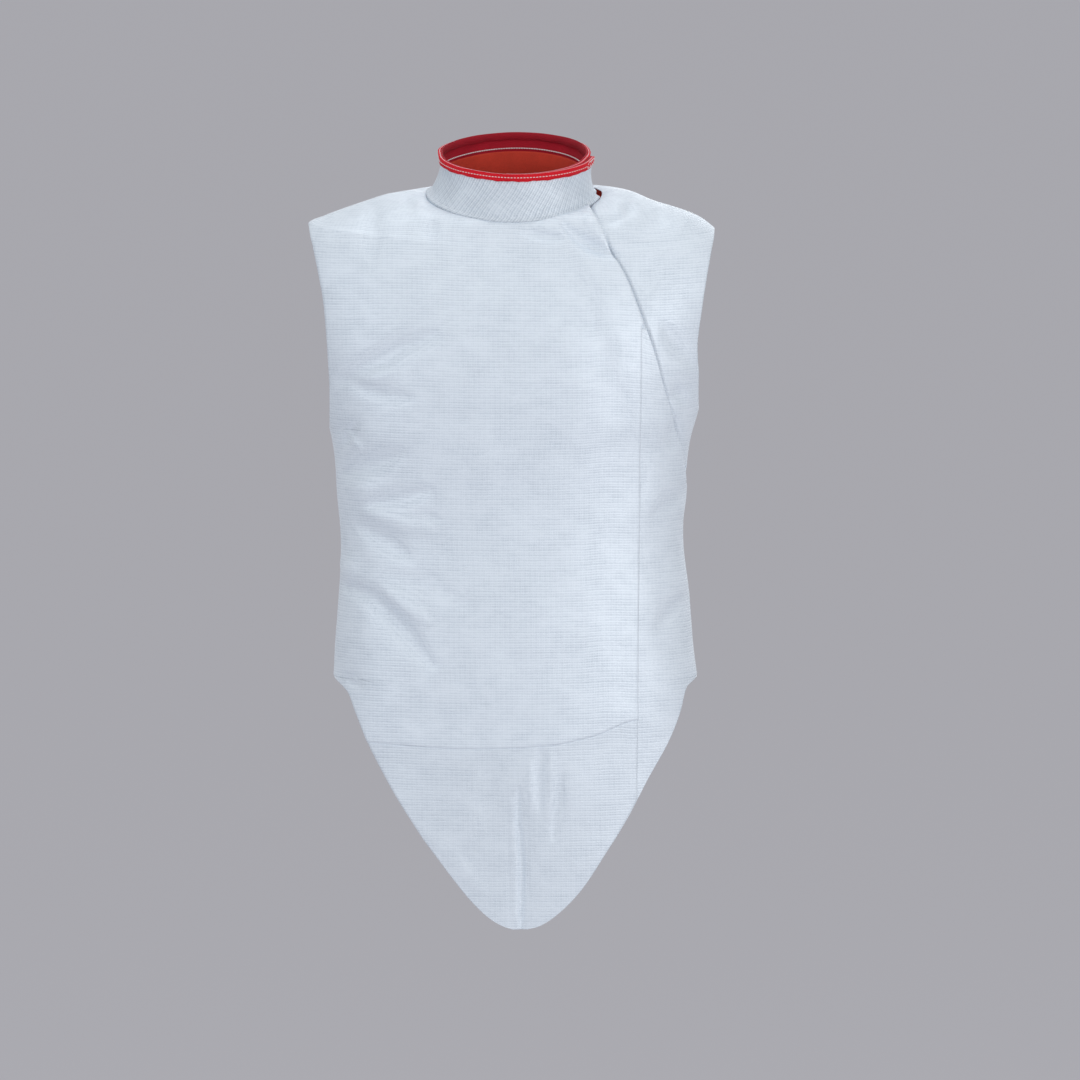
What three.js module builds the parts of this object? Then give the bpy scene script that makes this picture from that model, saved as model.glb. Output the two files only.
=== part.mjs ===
// Fencing lame: a sleeveless conductive over-vest, standing filled out with nobody in it.
// Millimetres, +Z up, the front faces -Y and +X is the wearer's left.
// The origin is the middle of the neck base, between the shoulders that carry the garment.
//
// The body is a loft through horizontal sections, each a squared oval. Every panel is a sheet cut from
// that loft between outlines given as x against height, with the cloth's thickness turned inwards.
import * as THREE from 'three';

// Cloth and seams
const CLOTH = 1.6;
const LINING = 1.0;
const SEAM_GAP = 0.3;
const LAYER_GAP = 0.9;                  // between loose layers that lie on each other
const LINING_GAP = 2;
const LIFT = CLOTH + LAYER_GAP;         // the overlap stands this far out, on top of the underlap
const UNDERLAP_WIDTH = 30;
const UNDERLAP_SINK = 0.8;              // the covered part of the underlap settles inwards
const LIFT_FADE = 28;

// Levels on the loft: below the shoulder tips a level is the height itself
const HEM = -485;
const UNDERARM = -228;
const SHOULDER_TIP = -35.5;
const NECK = 10;
const NECK_INSET = 0.8;
const TAIL_TIP = -732;
const TAIL_SEAM = -548;
const OVERLAP_ENDS = -282;
const UNDERLAP_BOTTOM = -305;
const STRIP_TOP = -128;
const STRIP_BOTTOM = -598;

// Collar
const COLLAR_EDGE_DROP = 1.4;           // cloth and facing stop this far below the top of the binding
const BINDING = 1.0;
const BINDING_LEG = 10;
const BINDING_EASE = 0.25;              // the folded binding stands this much off the cloth
const FACING_WIDTH = 21;
const OVERLAP_END = 80;                 // degrees round from the front, on the wearer's left
const UNDERLAP_END = -371;              // the strip has gone right round and passed the front again
const LAP_START = -195;
const LAP_FULL = -262;
const LAP_SHIFT = 6.5;
const COLLAR_GAP = 1.3;                 // at the neck seam, where the body turns up under the collar
const COLLAR_STEPS = 46;

// Loft sections, bottom to top. The front, side and back heights differ only in the yoke, where the
// sections tip up over the shoulders. tilt lifts the wearer's left side and drops the right.
const SECTIONS = [
  { level: -735, zFront: -735, zSide: -735, zBack: -735,
    half: 214, front: 87, back: 112, x: 4, square: 2.1, tilt: 0 },
  { level: -650, zFront: -650, zSide: -650, zBack: -650,
    half: 203, front: 96, back: 112, x: 3, square: 2.1, tilt: 0 },
  { level: -560, zFront: -560, zSide: -560, zBack: -560,
    half: 192, front: 103, back: 112, x: 1, square: 2.2, tilt: 0 },
  { level: -485, zFront: -485, zSide: -485, zBack: -485,
    half: 182, front: 107, back: 112, x: 0, square: 2.4, tilt: 0 },
  { level: -450, zFront: -450, zSide: -450, zBack: -450,
    half: 179, front: 107, back: 108, x: -1, square: 2.4, tilt: 0 },
  { level: -410, zFront: -410, zSide: -410, zBack: -410,
    half: 176, front: 106, back: 102, x: -1, square: 2.4, tilt: 0 },
  { level: -350, zFront: -350, zSide: -350, zBack: -350,
    half: 171.5, front: 104, back: 95, x: -3, square: 2.4, tilt: 0 },
  { level: -300, zFront: -300, zSide: -300, zBack: -300,
    half: 174, front: 107, back: 96, x: -4, square: 2.4, tilt: 3 },
  { level: -262, zFront: -262, zSide: -262, zBack: -262,
    half: 177.5, front: 112, back: 102, x: -3, square: 2.4, tilt: 8 },
  { level: -228, zFront: -228, zSide: -228, zBack: -228,
    half: 185, front: 116, back: 108, x: -1, square: 2.5, tilt: 10 },
  { level: -190, zFront: -190, zSide: -190, zBack: -190,
    half: 194, front: 118, back: 114, x: -1, square: 2.5, tilt: 8 },
  { level: -150, zFront: -150, zSide: -150, zBack: -150,
    half: 206, front: 116, back: 117, x: -2.5, square: 2.4, tilt: 4 },
  { level: -112, zFront: -112, zSide: -112, zBack: -112,
    half: 216, front: 109, back: 116, x: -2, square: 2.3, tilt: 1 },
  { level: -76, zFront: -82, zSide: -76, zBack: -72,
    half: 221, front: 97, back: 109, x: -2.5, square: 2.2, tilt: -1 },
  { level: -52, zFront: -66, zSide: -52, zBack: -42,
    half: 216, front: 89, back: 101, x: -3, square: 2.1, tilt: -2 },
  { level: -35.5, zFront: -56, zSide: -35.5, zBack: -24,
    half: 203, front: 84, back: 94, x: -3.5, square: 2, tilt: -2.5 },
  { level: -28, zFront: -50, zSide: -28, zBack: -17,
    half: 190, front: 81, back: 89, x: -3.5, square: 2, tilt: 0 },
  { level: -20, zFront: -44, zSide: -20, zBack: -11,
    half: 172, front: 78, back: 83, x: -3.5, square: 2, tilt: 1 },
  { level: -10, zFront: -38, zSide: -10, zBack: -5,
    half: 147, front: 75.5, back: 77, x: -3, square: 2, tilt: 2 },
  { level: -2, zFront: -33.5, zSide: -2, zBack: 0,
    half: 121, front: 73.5, back: 71, x: -2.5, square: 2, tilt: 2 },
  { level: 4, zFront: -30.5, zSide: 0, zBack: 4.5,
    half: 102, front: 72, back: 67, x: -2, square: 2.05, tilt: 2 },
  { level: 10, zFront: -28, zSide: -3, zBack: 8,
    half: 88, front: 71, back: 64, x: -1, square: 2.1, tilt: 1 },
];

// Collar sections, from the neck seam (0) to the top edge (1): the base flares, the top tips forward
const COLLAR_SECTIONS = [
  { level: 0, zFront: -28, zSide: -3, zBack: 8,
    half: 88, front: 71, back: 64, x: -1, square: 2.1, tilt: 1 },
  { level: 0.25, zFront: -16, zSide: 7, zBack: 19,
    half: 80.5, front: 68.5, back: 63, x: 0, square: 2.1, tilt: 1 },
  { level: 0.6, zFront: 1, zSide: 22, zBack: 36,
    half: 76.5, front: 66, back: 65.5, x: 1.5, square: 2.1, tilt: 0 },
  { level: 1, zFront: 20, zSide: 37, zBack: 53,
    half: 78, front: 64, back: 69, x: 2.5, square: 2.1, tilt: 0 },
];

// Armhole edge: how far it stands from the middle of the section, and how much less at the back
const ARMHOLE = [
  { level: -228, half: 185, backLess: 0 },
  { level: -200, half: 184.6, backLess: 3 },
  { level: -160, half: 184.6, backLess: 5 },
  { level: -113, half: 188.5, backLess: 5 },
  { level: -76, half: 194.5, backLess: 4 },
  { level: -52, half: 199.5, backLess: 2 },
  { level: -35.5, half: 203, backLess: 0 },
];

// Free edge of the overlap, from the collar to the wearer's left side seam
const OVERLAP_EDGE = [
  { level: -300, x: 170 },
  { level: -278, x: 168.5 },
  { level: -229, x: 157 },
  { level: -198, x: 148 },
  { level: -156, x: 137 },
  { level: -119, x: 125 },
  { level: -79, x: 111 },
  { level: -50, x: 98 },
  { level: -20, x: 86 },
  { level: 10, x: 74 },
];

// Seam between the front and the strip beside the left side seam: a straight line, nearly upright
const STRIP_TOP_X = 126;
const STRIP_BOTTOM_X = 122.3;

// Cross seam above the tail: its height across the front, measured from TAIL_SEAM
const CROSS_SEAM = [
  { x: -150, rise: 0 },
  { x: -50, rise: -3.5 },
  { x: 25, rise: -1 },
  { x: 75, rise: 8 },
  { x: 124, rise: 24 },
];
const CROSS_SEAM_FADE = 75;

// Hem of the tail, from the corners at the side seams down to its tip
const TAIL_HEM = [
  { level: -732, left: -5, right: 15 },
  { level: -725, left: -16, right: 29 },
  { level: -712, left: -30, right: 44 },
  { level: -683, left: -58, right: 71 },
  { level: -652, left: -85, right: 94.5 },
  { level: -624, left: -104, right: 112 },
  { level: -587, left: -127, right: 131.5 },
  { level: -551, left: -146, right: 151.5 },
  { level: -529, left: -155, right: 161 },
  { level: -514, left: -161, right: 166 },
  { level: -501, left: -166, right: 169 },
  { level: -494, left: -172, right: 171.5 },
  { level: -485, left: -181.8, right: 181.8 },
];

// The largest folds on the front: soft grooves between two points seen from the front
const FOLDS = [
  { name: 'tail dart', x0: 5, z0: -600, x1: 6, z1: -740, width: 7, depth: 5 },
  { name: 'tail dart side fold', x0: 27, z0: -560, x1: 25, z1: -615, width: 8, depth: 3.5 },
  { name: 'tail outer fold', x0: 46, z0: -580, x1: 39, z1: -640, width: 8, depth: 3.5 },
  { name: 'hip fold', x0: -163, z0: -405, x1: -88, z1: -462, width: 11, depth: 5 },
  { name: 'waist fold', x0: -150, z0: -340, x1: -108, z1: -368, width: 11, depth: 4 },
  { name: 'rib fold', x0: -160, z0: -290, x1: -118, z1: -264, width: 11, depth: 4 },
  { name: 'underarm fold', x0: -168, z0: -196, x1: -88, z1: -142, width: 12, depth: 5 },
];

const COLOURS = {
  lame_cloth: { colour: '#d3deea', roughness: 0.45, metalness: 0.35 },
  red_lining: { colour: '#c22a26', roughness: 0.8, metalness: 0 },
  dark_red_facing: { colour: '#9c1620', roughness: 0.75, metalness: 0 },
  red_binding: { colour: '#d3202c', roughness: 0.7, metalness: 0 },
};

const QUARTER = Math.PI / 2;
const BISECTIONS = 40;
const PROBE = 0.002;

const clamp = (value, low, high) => Math.min(high, Math.max(low, value));
const mix = (from, to, share) => from + (to - from) * share;
const radians = (degrees) => degrees * Math.PI / 180;

function smooth(value, from, to) {
  const share = clamp((value - from) / (to - from), 0, 1);
  return share * share * (3 - 2 * share);
}

// A smooth curve through one column of a table: monotone between its rows, held at its ends
function tableCurve(rows, key, column) {
  const count = rows.length;
  const at = rows.map((row) => row[key]);
  const value = rows.map((row) => row[column]);
  const slope = rows.map((_, i) => {
    if (i === 0 || i === count - 1) return 0;
    const before = (value[i] - value[i - 1]) / (at[i] - at[i - 1]);
    const after = (value[i + 1] - value[i]) / (at[i + 1] - at[i]);
    return before * after <= 0 ? 0 : 2 * before * after / (before + after);
  });
  return (x) => {
    const place = clamp(x, at[0], at[count - 1]);
    let i = 0;
    while (i < count - 2 && place > at[i + 1]) i += 1;
    const span = at[i + 1] - at[i];
    const s = (place - at[i]) / span;
    const s2 = s * s;
    const s3 = s2 * s;
    return value[i] * (2 * s3 - 3 * s2 + 1) + span * slope[i] * (s3 - 2 * s2 + s)
      + value[i + 1] * (3 * s2 - 2 * s3) + span * slope[i + 1] * (s3 - s2);
  };
}

// A point on a lofted form: angle is 0 at the front, +90 degrees at the wearer's left, 180 at the back
function loft(rows) {
  const names = ['zFront', 'zSide', 'zBack', 'half', 'front', 'back', 'x', 'square', 'tilt'];
  const curves = names.map((name) => tableCurve(rows, 'level', name));
  return (level, angle, inset = 0) => {
    const [zFront, zSide, zBack, half, front, back, x, square, tilt] = curves.map((curve) => curve(level));
    const sine = Math.sin(angle);
    const cosine = Math.cos(angle);
    const depth = (cosine > 0 ? front : back) - inset;
    const across = Math.abs(sine) / (half - inset);
    const along = Math.abs(cosine) / depth;
    const radius = (across ** square + along ** square) ** (-1 / square);
    const rise = cosine > 0 ? (zFront - zSide) * cosine : (zBack - zSide) * -cosine;
    return new THREE.Vector3(x + radius * sine, -radius * cosine, zSide + rise + tilt * radius * sine / 200);
  };
}

const bodyPoint = loft(SECTIONS);
const collarPoint = loft(COLLAR_SECTIONS);

// Outward normal of a form, from two short steps over it
function outward(point, level, angle, levelStep) {
  const around = point(level, angle + PROBE).sub(point(level, angle - PROBE));
  const up = point(level + levelStep, angle).sub(point(level - levelStep, angle));
  return around.cross(up).normalize();
}

const sectionX = tableCurve(SECTIONS, 'level', 'x');
const sectionHalf = tableCurve(SECTIONS, 'level', 'half');
const armholeHalf = tableCurve(ARMHOLE, 'level', 'half');
const armholeBackLess = tableCurve(ARMHOLE, 'level', 'backLess');
const overlapX = tableCurve(OVERLAP_EDGE, 'level', 'x');
const stripShare = (level) => (level - STRIP_BOTTOM) / (STRIP_TOP - STRIP_BOTTOM);
const stripX = (level) => mix(STRIP_BOTTOM_X, STRIP_TOP_X, stripShare(level));
const crossRise = tableCurve(CROSS_SEAM, 'x', 'rise');
const tailLeft = tableCurve(TAIL_HEM, 'level', 'left');
const tailRight = tableCurve(TAIL_HEM, 'level', 'right');

// Half of a seam's gap, as an angle at this level's side
const seamAngle = (level) => SEAM_GAP / 2 / sectionHalf(level);

// The angle on the front at which a level reaches x, no further than the side seam
function angleAt(level, x) {
  const side = x < sectionX(level) ? -1 : 1;
  let low = 0;
  let high = QUARTER - seamAngle(level);
  if ((bodyPoint(level, side * high).x - x) * side <= 0) return side * high;
  for (let i = 0; i < BISECTIONS; i += 1) {
    const middle = (low + high) / 2;
    if ((bodyPoint(level, side * middle).x - x) * side < 0) low = middle;
    else high = middle;
  }
  return side * low;
}

// Outer limit of the front on one side (-1 the wearer's right, +1 the left): tail hem, side seam,
// armhole or shoulder seam, whichever the level meets
function frontLimit(level, side) {
  if (level < HEM) return angleAt(level, side < 0 ? tailLeft(level) : tailRight(level));
  if (level > UNDERARM && level < SHOULDER_TIP) {
    return angleAt(level, sectionX(level) + side * armholeHalf(level));
  }
  return side * (QUARTER - seamAngle(level));
}

function backLimit(level, side) {
  if (level > UNDERARM && level < SHOULDER_TIP) {
    const reach = armholeHalf(level) - armholeBackLess(level);
    return Math.PI - side * angleAt(level, sectionX(level) + reach);
  }
  return Math.PI - side * (QUARTER - seamAngle(level));
}

// How far the folds press the front in at a place seen from the front
function foldDepth(x, z) {
  return FOLDS.reduce((sum, fold) => {
    const dx = fold.x1 - fold.x0;
    const dz = fold.z1 - fold.z0;
    const along = clamp(((x - fold.x0) * dx + (z - fold.z0) * dz) / (dx * dx + dz * dz), 0, 1);
    const away = Math.hypot(x - fold.x0 - along * dx, z - fold.z0 - along * dz) / fold.width;
    return sum + fold.depth * Math.exp(-away * away);
  }, 0);
}

// The overlap stands proud of the underlap beneath it and comes down to the body beyond
function overlapLift(x, level) {
  const across = 1 - smooth(overlapX(level) - x, UNDERLAP_WIDTH + 4, UNDERLAP_WIDTH + LIFT_FADE);
  return LIFT * across * smooth(level, UNDERLAP_BOTTOM - LIFT_FADE, UNDERLAP_BOTTOM - 2);
}

// A closed sheet from a grid of outer points and the inner point under each
function sheetGeometry(columns, rows, pairAt) {
  const positions = [];
  const faces = [];
  const layer = (columns + 1) * (rows + 1);
  const pairs = [];
  for (let row = 0; row <= rows; row += 1) {
    for (let column = 0; column <= columns; column += 1) {
      pairs.push(pairAt(column / columns, row / rows));
    }
  }
  pairs.forEach(([outer]) => positions.push(outer.x, outer.y, outer.z));
  pairs.forEach(([, inner]) => positions.push(inner.x, inner.y, inner.z));
  const index = (column, row) => row * (columns + 1) + column;
  const quad = (a, b, c, d) => faces.push(a, b, c, a, c, d);
  for (let row = 0; row < rows; row += 1) {
    for (let column = 0; column < columns; column += 1) {
      const a = index(column, row);
      const b = index(column + 1, row);
      const c = index(column + 1, row + 1);
      const d = index(column, row + 1);
      quad(a, b, c, d);
      quad(a + layer, d + layer, c + layer, b + layer);
    }
  }
  const wall = (a, b) => quad(b, a, a + layer, b + layer);
  for (let column = 0; column < columns; column += 1) {
    wall(index(column, 0), index(column + 1, 0));
    wall(index(column + 1, rows), index(column, rows));
  }
  for (let row = 0; row < rows; row += 1) {
    wall(index(columns, row), index(columns, row + 1));
    wall(index(0, row + 1), index(0, row));
  }
  const geometry = new THREE.BufferGeometry();
  geometry.setAttribute('position', new THREE.Float32BufferAttribute(positions, 3));
  geometry.setIndex(faces);
  return geometry;
}

function makeMesh(name, geometry, finish) {
  const look = COLOURS[finish];
  const material = new THREE.MeshStandardMaterial({
    color: look.colour,
    roughness: look.roughness,
    metalness: look.metalness,
  });
  geometry.computeVertexNormals();
  const mesh = new THREE.Mesh(geometry, material);
  mesh.name = name;
  return mesh;
}

// A panel of the body. levelAt(v, x) gives the level of a row, leftAt and rightAt its ends, and
// standAt(x, z, level) how far its outer face stands off the loft.
function bodyPanel({ name, columns, rows, levelAt, leftAt, rightAt, standAt, thickness, finish }) {
  const pairAt = (u, v) => {
    const flat = levelAt(v, 0);
    const guess = mix(leftAt(flat), rightAt(flat), u);
    const level = levelAt(v, bodyPoint(flat, guess).x);
    const angle = mix(leftAt(level), rightAt(level), u);
    const surface = bodyPoint(level, angle);
    const normal = outward(bodyPoint, level, angle, 0.5);
    const stand = standAt(surface.x, surface.z, level);
    const outer = surface.clone().addScaledVector(normal, stand);
    const inner = surface.clone().addScaledVector(normal, stand - thickness);
    return [outer, inner];
  };
  return makeMesh(name, sheetGeometry(columns, rows, pairAt), finish);
}

// Rows closer together near the levels where an outline turns
function rowLevels(stops) {
  const levels = [];
  stops.forEach(({ to, steps }, i) => {
    if (i === 0) {
      levels.push(to);
      return;
    }
    const from = stops[i - 1].to;
    for (let step = 1; step <= steps; step += 1) levels.push(mix(from, to, step / steps));
  });
  return levels;
}

function rowReader(levels) {
  return (v) => levels[Math.round(v * (levels.length - 1))];
}

// The cross seam bends the rows next to it, less and less away from it
function bentLevel(level, x) {
  const bend = 1 - smooth(Math.abs(level - TAIL_SEAM), 0, CROSS_SEAM_FADE);
  return level + crossRise(x) * bend;
}

const BODY_TOP = NECK - NECK_INSET;
const BACK_STEPS = 7;
const BACK_COLUMNS = 16;
const LINING_MARGIN = 6;
const ARMHOLE_STOPS = [
  { to: UNDERARM },
  { to: UNDERARM + 2, steps: 1 },
  { to: UNDERARM + 9, steps: 1 },
  { to: UNDERARM + 28, steps: 1 },
  { to: -112, steps: 4 },
  { to: -62, steps: 3 },
  { to: SHOULDER_TIP - 4, steps: 2 },
  { to: SHOULDER_TIP - 0.6, steps: 1 },
  { to: SHOULDER_TIP, steps: 1 },
];
const YOKE_STOPS = [
  { to: -20, steps: 1 },
  { to: -2, steps: 2 },
  { to: BODY_TOP, steps: 2 },
];

function frontPanel() {
  const levels = rowLevels([
    { to: TAIL_SEAM + SEAM_GAP / 2 },
    { to: -501, steps: 2 },
    { to: HEM, steps: 2 },
    { to: UNDERARM, steps: 9 },
    ...ARMHOLE_STOPS.slice(1),
    ...YOKE_STOPS,
  ]);
  const rowLevel = rowReader(levels);
  const rightX = (level) => (
    level < STRIP_TOP ? Math.min(overlapX(level), stripX(level) - SEAM_GAP / 2) : overlapX(level)
  );
  return bodyPanel({
    name: 'front_panel',
    columns: 18,
    rows: levels.length - 1,
    levelAt: (v, x) => bentLevel(rowLevel(v), x),
    leftAt: (level) => frontLimit(level, -1),
    rightAt: (level) => angleAt(level, rightX(level)),
    standAt: (x, z, level) => overlapLift(x, level) - foldDepth(x, z),
    thickness: CLOTH,
    finish: 'lame_cloth',
  });
}

function sideFrontPanel() {
  const levels = rowLevels([
    { to: STRIP_BOTTOM + 5 },
    { to: TAIL_SEAM, steps: 2 },
    { to: -501, steps: 2 },
    { to: HEM, steps: 2 },
    { to: OVERLAP_ENDS, steps: 8 },
    { to: STRIP_TOP - 16, steps: 5 },
  ]);
  const rightLimit = (level) => {
    const side = frontLimit(level, 1);
    return level > OVERLAP_ENDS - 16 ? Math.min(side, angleAt(level, overlapX(level))) : side;
  };
  return bodyPanel({
    name: 'side_front_panel',
    columns: 6,
    rows: levels.length - 1,
    levelAt: rowReader(levels),
    leftAt: (level) => angleAt(level, stripX(level) + SEAM_GAP / 2),
    rightAt: rightLimit,
    standAt: (x, z, level) => overlapLift(x, level),
    thickness: CLOTH,
    finish: 'lame_cloth',
  });
}

function tailPanel() {
  const levels = rowLevels([
    { to: TAIL_TIP },
    { to: -725, steps: 1 },
    { to: -712, steps: 1 },
    { to: STRIP_BOTTOM, steps: 6 },
    { to: TAIL_SEAM - SEAM_GAP / 2, steps: 3 },
  ]);
  const rowLevel = rowReader(levels);
  const rightX = (level) => Math.min(tailRight(level), stripX(level) - SEAM_GAP / 2);
  return bodyPanel({
    name: 'tail_panel',
    columns: 16,
    rows: levels.length - 1,
    levelAt: (v, x) => bentLevel(rowLevel(v), x),
    leftAt: (level) => frontLimit(level, -1),
    rightAt: (level) => angleAt(level, rightX(level)),
    standAt: (x, z) => -foldDepth(x, z),
    thickness: CLOTH,
    finish: 'lame_cloth',
  });
}

function underlapPanel() {
  const levels = rowLevels([
    { to: UNDERLAP_BOTTOM },
    { to: UNDERARM, steps: 4 },
    ...ARMHOLE_STOPS.slice(1),
    ...YOKE_STOPS,
  ]);
  return bodyPanel({
    name: 'underlap_panel',
    columns: 5,
    rows: levels.length - 1,
    levelAt: rowReader(levels),
    leftAt: (level) => angleAt(level, overlapX(level) - UNDERLAP_WIDTH),
    rightAt: (level) => frontLimit(level, 1),
    standAt: (x, z, level) => -foldDepth(x, z) - UNDERLAP_SINK * (1 - smooth(x - overlapX(level), 0, 12)),
    thickness: CLOTH,
    finish: 'lame_cloth',
  });
}

function backPanel() {
  const levels = rowLevels([
    { to: HEM },
    { to: UNDERARM, steps: BACK_STEPS },
    ...ARMHOLE_STOPS.slice(1),
    ...YOKE_STOPS,
  ]);
  return bodyPanel({
    name: 'back_panel',
    columns: BACK_COLUMNS,
    rows: levels.length - 1,
    levelAt: rowReader(levels),
    leftAt: (level) => backLimit(level, 1),
    rightAt: (level) => backLimit(level, -1),
    standAt: () => 0,
    thickness: CLOTH,
    finish: 'lame_cloth',
  });
}

// The lining is made from the back's own points, a column in from each edge
function backLining() {
  const columns = BACK_COLUMNS - 2;
  const liningLimit = (level, share) => mix(backLimit(level, 1), backLimit(level, -1), share);
  const levels = rowLevels([
    { to: HEM + LINING_MARGIN },
    { to: UNDERARM, steps: BACK_STEPS },
    ...ARMHOLE_STOPS.slice(1),
    ...YOKE_STOPS,
  ]);
  return bodyPanel({
    name: 'back_lining',
    columns,
    rows: levels.length - 1,
    levelAt: rowReader(levels),
    leftAt: (level) => liningLimit(level, 1 / BACK_COLUMNS),
    rightAt: (level) => liningLimit(level, 1 - 1 / BACK_COLUMNS),
    standAt: () => -CLOTH - LINING_GAP,
    thickness: LINING,
    finish: 'red_lining',
  });
}

// The collar strip spirals: past the back it moves in, to end inside its own overlap
const lapInset = (degrees) => LAP_SHIFT * smooth(-degrees, -LAP_START, -LAP_FULL);

// A point of the collar, so far below the top edge and so far out of its outer face
function collarAt(degrees, below, out) {
  const angle = radians(degrees);
  const inset = lapInset(degrees);
  const point = (share, turn) => collarPoint(share, turn, inset);
  const height = point(1, angle).distanceTo(point(0, angle));
  const share = clamp(1 - below / height, 0, 1);
  const normal = outward(point, clamp(share, 0.02, 0.98), angle, 0.02);
  return point(share, angle).addScaledVector(normal, out);
}

function collarHeight(degrees) {
  const angle = radians(degrees);
  const inset = lapInset(degrees);
  return collarPoint(1, angle, inset).distanceTo(collarPoint(0, angle, inset));
}

// Rows of the collar, as distances below its top edge: its cloth, facing and lining share them
const bottomBelow = (degrees) => collarHeight(degrees) - COLLAR_GAP;
const COLLAR_ROWS = [
  () => COLLAR_EDGE_DROP,
  () => BINDING_LEG,
  () => FACING_WIDTH,
  (degrees) => (FACING_WIDTH + bottomBelow(degrees)) / 2,
  bottomBelow,
];

function collarBand({ name, rowsBelow, shorten = 0, out, thickness, finish }) {
  const rows = rowsBelow.length - 1;
  const pairAt = (u, v) => {
    const degrees = mix(UNDERLAP_END, OVERLAP_END, u);
    const row = rows - Math.round(v * rows);
    const below = rowsBelow[row](degrees) + (row === 0 ? shorten : 0);
    return [collarAt(degrees, below, out), collarAt(degrees, below, out - thickness)];
  };
  return makeMesh(name, sheetGeometry(COLLAR_STEPS, rows, pairAt), finish);
}

function collarStand() {
  return collarBand({
    name: 'collar_stand',
    rowsBelow: COLLAR_ROWS,
    out: 0,
    thickness: CLOTH,
    finish: 'lame_cloth',
  });
}

function collarFacing() {
  return collarBand({
    name: 'collar_facing',
    rowsBelow: COLLAR_ROWS.slice(0, 3),
    out: -CLOTH - SEAM_GAP,
    thickness: LINING,
    finish: 'dark_red_facing',
  });
}

function collarLining() {
  return collarBand({
    name: 'collar_lining',
    rowsBelow: COLLAR_ROWS.slice(2),
    shorten: SEAM_GAP,
    out: -CLOTH - SEAM_GAP,
    thickness: LINING,
    finish: 'red_lining',
  });
}

// The binding is a folded strip: one closed U of cloth carried round the collar's top edge
function collarBinding() {
  const clear = SEAM_GAP + BINDING_EASE;
  const outerFace = clear + BINDING;
  const innerFace = -(CLOTH + SEAM_GAP + LINING + clear + BINDING);
  const bight = COLLAR_EDGE_DROP - SEAM_GAP;
  const section = [
    { out: outerFace, below: BINDING_LEG },
    { out: outerFace, below: 1 },
    { out: outerFace - 0.8, below: 0 },
    { out: innerFace + 0.8, below: 0 },
    { out: innerFace, below: 1 },
    { out: innerFace, below: BINDING_LEG },
    { out: innerFace + BINDING, below: BINDING_LEG },
    { out: innerFace + BINDING, below: bight },
    { out: clear, below: bight },
    { out: clear, below: BINDING_LEG },
  ];
  const corners = section.length;
  const positions = [];
  const faces = [];
  for (let step = 0; step <= COLLAR_STEPS; step += 1) {
    const degrees = mix(OVERLAP_END, UNDERLAP_END, step / COLLAR_STEPS);
    section.forEach(({ out, below }) => positions.push(...collarAt(degrees, below, out).toArray()));
  }
  for (let step = 0; step < COLLAR_STEPS; step += 1) {
    for (let corner = 0; corner < corners; corner += 1) {
      const a = step * corners + corner;
      const b = step * corners + (corner + 1) % corners;
      faces.push(a, b, b + corners, a, b + corners, a + corners);
    }
  }
  const outline = section.map(({ out, below }) => new THREE.Vector2(out, -below));
  const last = COLLAR_STEPS * corners;
  THREE.ShapeUtils.triangulateShape(outline, []).forEach(([a, b, c]) => {
    faces.push(a, c, b, last + a, last + b, last + c);
  });
  const geometry = new THREE.BufferGeometry();
  geometry.setAttribute('position', new THREE.Float32BufferAttribute(positions, 3));
  geometry.setIndex(faces);
  return makeMesh('collar_binding', geometry, 'red_binding');
}

const group = new THREE.Group();
group.name = 'fencing_lame';
[
  frontPanel, sideFrontPanel, tailPanel, underlapPanel, backPanel, backLining,
  collarStand, collarFacing, collarLining, collarBinding,
].forEach((makePiece) => group.add(makePiece()));

export default group;
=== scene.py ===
import math

import bpy
import numpy as np
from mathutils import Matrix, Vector


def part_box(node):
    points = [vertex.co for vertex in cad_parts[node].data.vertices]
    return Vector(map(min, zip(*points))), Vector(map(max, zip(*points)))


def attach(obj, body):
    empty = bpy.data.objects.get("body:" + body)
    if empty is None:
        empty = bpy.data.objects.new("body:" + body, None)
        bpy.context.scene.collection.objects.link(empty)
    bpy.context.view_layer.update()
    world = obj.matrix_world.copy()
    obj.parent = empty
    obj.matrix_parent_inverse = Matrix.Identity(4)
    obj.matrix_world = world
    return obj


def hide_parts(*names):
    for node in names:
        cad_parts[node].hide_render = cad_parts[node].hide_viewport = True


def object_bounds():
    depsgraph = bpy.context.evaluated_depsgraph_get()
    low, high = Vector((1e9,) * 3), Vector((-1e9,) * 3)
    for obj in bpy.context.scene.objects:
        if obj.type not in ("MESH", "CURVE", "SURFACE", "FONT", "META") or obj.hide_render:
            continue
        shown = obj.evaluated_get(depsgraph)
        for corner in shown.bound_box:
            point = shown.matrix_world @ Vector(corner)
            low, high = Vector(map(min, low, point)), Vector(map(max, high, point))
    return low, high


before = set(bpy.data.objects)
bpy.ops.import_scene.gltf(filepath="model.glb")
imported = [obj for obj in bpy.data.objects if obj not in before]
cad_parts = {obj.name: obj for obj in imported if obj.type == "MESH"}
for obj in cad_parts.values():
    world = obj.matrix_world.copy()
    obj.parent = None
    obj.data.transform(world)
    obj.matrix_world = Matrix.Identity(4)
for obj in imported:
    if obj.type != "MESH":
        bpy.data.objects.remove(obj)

bl_info = {
    "name": "Fencing Lame",
    "version": (1, 0, 0),
    "blender": (4, 5, 0),
    "location": "View3D > Sidebar > Fencing Lame",
    "description": "Makes a sleeveless foil lame: panels, collar, binding, lining and stitching",
    "category": "Object",
}

CAD_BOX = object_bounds()
MM = 0.001
QUARTER = math.pi / 2

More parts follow.
